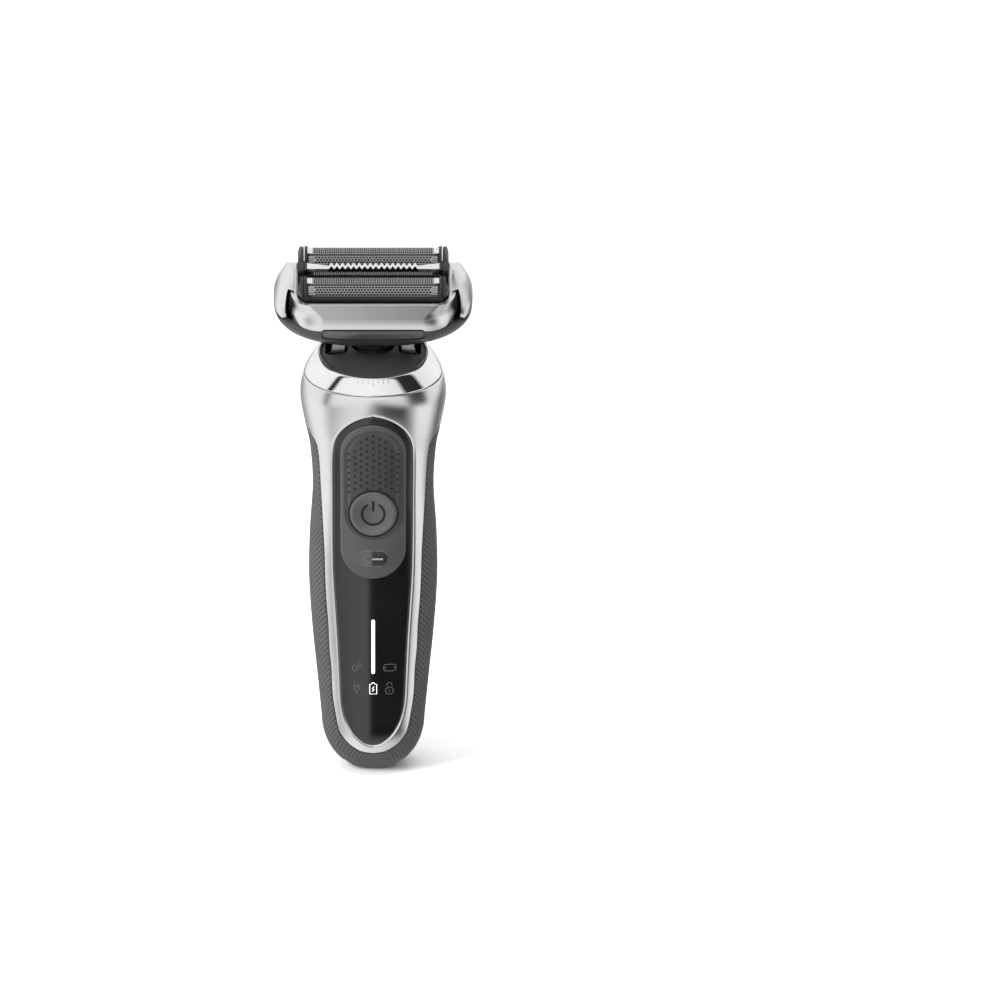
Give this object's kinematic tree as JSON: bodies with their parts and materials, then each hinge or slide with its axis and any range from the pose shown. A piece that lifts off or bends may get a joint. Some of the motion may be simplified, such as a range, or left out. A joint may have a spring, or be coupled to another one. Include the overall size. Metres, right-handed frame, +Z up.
{
  "type": "electric foil shaver",
  "caption": "Cordless foil shaver with a pivoting head, floating foils and trimmer, rubber-backed handle, power button, travel lock and charging inlet.",
  "frame": {"origin": "middle of the charging inlet's mouth, at the foot of the handle", "axes": "+Z up along the handle to the head, -Y out of the front with the power button, +X to the right seen from the front"},
  "size_m": [0.0592, 0.0366, 0.1637],
  "materials": {
    "satin_silver": "satin",
    "chrome": "polished",
    "grip_rubber": "fine dimples, matt",
    "gloss_black": "high gloss",
    "pad_grey": "matt",
    "cap_grey": "matt",
    "shell_grey": "satin, slightly metallic",
    "button_silver": "dished, satin",
    "light_white": "lit from behind",
    "symbol_grey": "printed",
    "cassette_black": "satin",
    "foil_steel": "polished, perforated",
    "blade_steel": "ground",
    "pin_steel": "ground",
    "frame_grey": "matt",
    "board_green": "solder mask",
    "cell_blue": "shrink sleeve",
    "copper": "enamelled winding",
    "contact_gold": "plated",
    "core_steel": "laminated",
    "slider_white": "low friction",
    "part_black": "matt",
    "seal_red": "soft"
  },
  "bodies": {
    "handle": {"rear_housing": "grip_rubber", "front_bezel": "satin_silver", "display_panel": "gloss_black", "button_surround": "pad_grey", "thumb_pad": "pad_grey", "light_bar": "light_white", "indicator_symbols": "symbol_grey", "lock_switch": "part_black", "collar_ring": "chrome", "collar_cap": "cap_grey", "collar_base": "frame_grey", "chassis": "frame_grey", "main_board": "board_green", "status_leds": "light_white", "tactile_switch": "part_black", "board_screws": "pin_steel", "battery_cell": "cell_blue", "battery_tabs": "pin_steel", "motor_cradle": "frame_grey", "motor_core": "core_steel", "motor_coil": "copper", "motor_rods": "pin_steel", "inlet_socket": "part_black", "contact_pins": "contact_gold", "inlet_seal": "seal_red"},
    "power_button": {"power_button": "button_silver"},
    "lock_slider": {"lock_slider": "part_black"},
    "release_latch": {"release_latch": "cap_grey"},
    "armature": {"armature": "frame_grey", "armature_magnets": "pin_steel", "drive_pin": "pin_steel"},
    "neck": {"neck_yoke": "satin_silver", "roll_pins": "pin_steel", "neck_boot": "part_black"},
    "drive_lever": {"drive_lever": "slider_white"},
    "head": {"head_shell": "shell_grey", "head_frame": "satin_silver", "grip_bar": "shell_grey", "head_base": "frame_grey", "base_screws": "pin_steel", "pitch_pins": "pin_steel"},
    "drive_carriage": {"drive_carriage": "slider_white"},
    "ear_left": {"ear_button_left": "satin_silver"},
    "ear_right": {"ear_button_right": "satin_silver"},
    "cassette": {"cassette_frame": "cassette_black", "cassette_springs": "pin_steel"},
    "front_foil_unit": {"front_foil": "foil_steel", "front_foil_holder": "cassette_black"},
    "rear_foil_unit": {"rear_foil": "foil_steel", "rear_foil_holder": "cassette_black"},
    "trimmer_unit": {"trimmer_guard": "foil_steel", "trimmer_holder": "cassette_black"},
    "trimmer_blade": {"trimmer_blade": "blade_steel"},
    "front_cutter": {"front_cutter": "blade_steel"},
    "rear_cutter": {"rear_cutter": "blade_steel"}
  },
  "joints": [
    {"name": "power_press", "type": "slide", "parent": "handle", "child": "power_button", "axis": [0, 1, 0], "range_m": [0, 0.0006], "stiffness_N_per_m": 700, "springref_m": -0.0008},
    {"name": "lock_slide", "type": "slide", "parent": "handle", "child": "lock_slider", "axis": [-1, 0, 0], "range_m": [0, 0.0042]},
    {"name": "latch_press", "type": "slide", "parent": "handle", "child": "release_latch", "axis": [0, -1, 0], "range_m": [0, 0.0012], "stiffness_N_per_m": 800, "springref_m": -0.001},
    {"name": "armature_drive", "type": "slide", "parent": "handle", "child": "armature", "axis": [1, 0, 0], "range_m": [-0.001, 0.001], "stiffness_N_per_m": 1200},
    {"name": "neck_roll", "type": "hinge", "parent": "handle", "child": "neck", "pos_m": [0, 0.0039, 0.126], "axis": [0, 1, 0], "range_deg": [-5, 5], "stiffness_Nm_per_rad": 1.2},
    {"name": "lever_slide", "type": "slide", "parent": "neck", "child": "drive_lever", "axis": [1, 0, 0], "range_m": [-0.001, 0.001]},
    {"name": "head_pitch", "type": "hinge", "parent": "neck", "child": "head", "pos_m": [0, 0.0039, 0.14465], "axis": [1, 0, 0], "range_deg": [-20, 10], "stiffness_Nm_per_rad": 1.2},
    {"name": "carriage_slide", "type": "slide", "parent": "head", "child": "drive_carriage", "axis": [1, 0, 0], "range_m": [-0.001, 0.001]},
    {"name": "ear_left_press", "type": "slide", "parent": "head", "child": "ear_left", "axis": [1, 0, 0], "range_m": [0, 0.0007], "stiffness_N_per_m": 800, "springref_m": -0.001},
    {"name": "ear_right_press", "type": "slide", "parent": "head", "child": "ear_right", "axis": [-1, 0, 0], "range_m": [0, 0.0007], "stiffness_N_per_m": 800, "springref_m": -0.001},
    {"name": "cassette_lift", "type": "slide", "parent": "head", "child": "cassette", "axis": [0, -0.3907, 0.9205], "range_m": [0, 0.02]},
    {"name": "front_float", "type": "slide", "parent": "cassette", "child": "front_foil_unit", "axis": [0, 0.3907, -0.9205], "range_m": [0, 0.001], "stiffness_N_per_m": 500, "springref_m": -0.001},
    {"name": "rear_float", "type": "slide", "parent": "cassette", "child": "rear_foil_unit", "axis": [0, 0.3907, -0.9205], "range_m": [0, 0.001], "stiffness_N_per_m": 500, "springref_m": -0.001},
    {"name": "trimmer_float", "type": "slide", "parent": "cassette", "child": "trimmer_unit", "axis": [0, 0.3907, -0.9205], "range_m": [0, 0.001], "stiffness_N_per_m": 500, "springref_m": -0.001},
    {"name": "front_cut", "type": "slide", "parent": "front_foil_unit", "child": "front_cutter", "axis": [1, 0, 0], "range_m": [-0.001, 0.001]},
    {"name": "rear_cut", "type": "slide", "parent": "rear_foil_unit", "child": "rear_cutter", "axis": [1, 0, 0], "range_m": [-0.001, 0.001]},
    {"name": "trim_cut", "type": "slide", "parent": "trimmer_unit", "child": "trimmer_blade", "axis": [1, 0, 0], "range_m": [-0.001, 0.001]}
  ],
  "couplings": [
    {"joint": "lever_slide", "follows": "armature_drive", "ratio": 1},
    {"joint": "carriage_slide", "follows": "armature_drive", "ratio": 1},
    {"joint": "front_cut", "follows": "armature_drive", "ratio": 1},
    {"joint": "rear_cut", "follows": "armature_drive", "ratio": 1},
    {"joint": "trim_cut", "follows": "armature_drive", "ratio": 1}
  ]
}
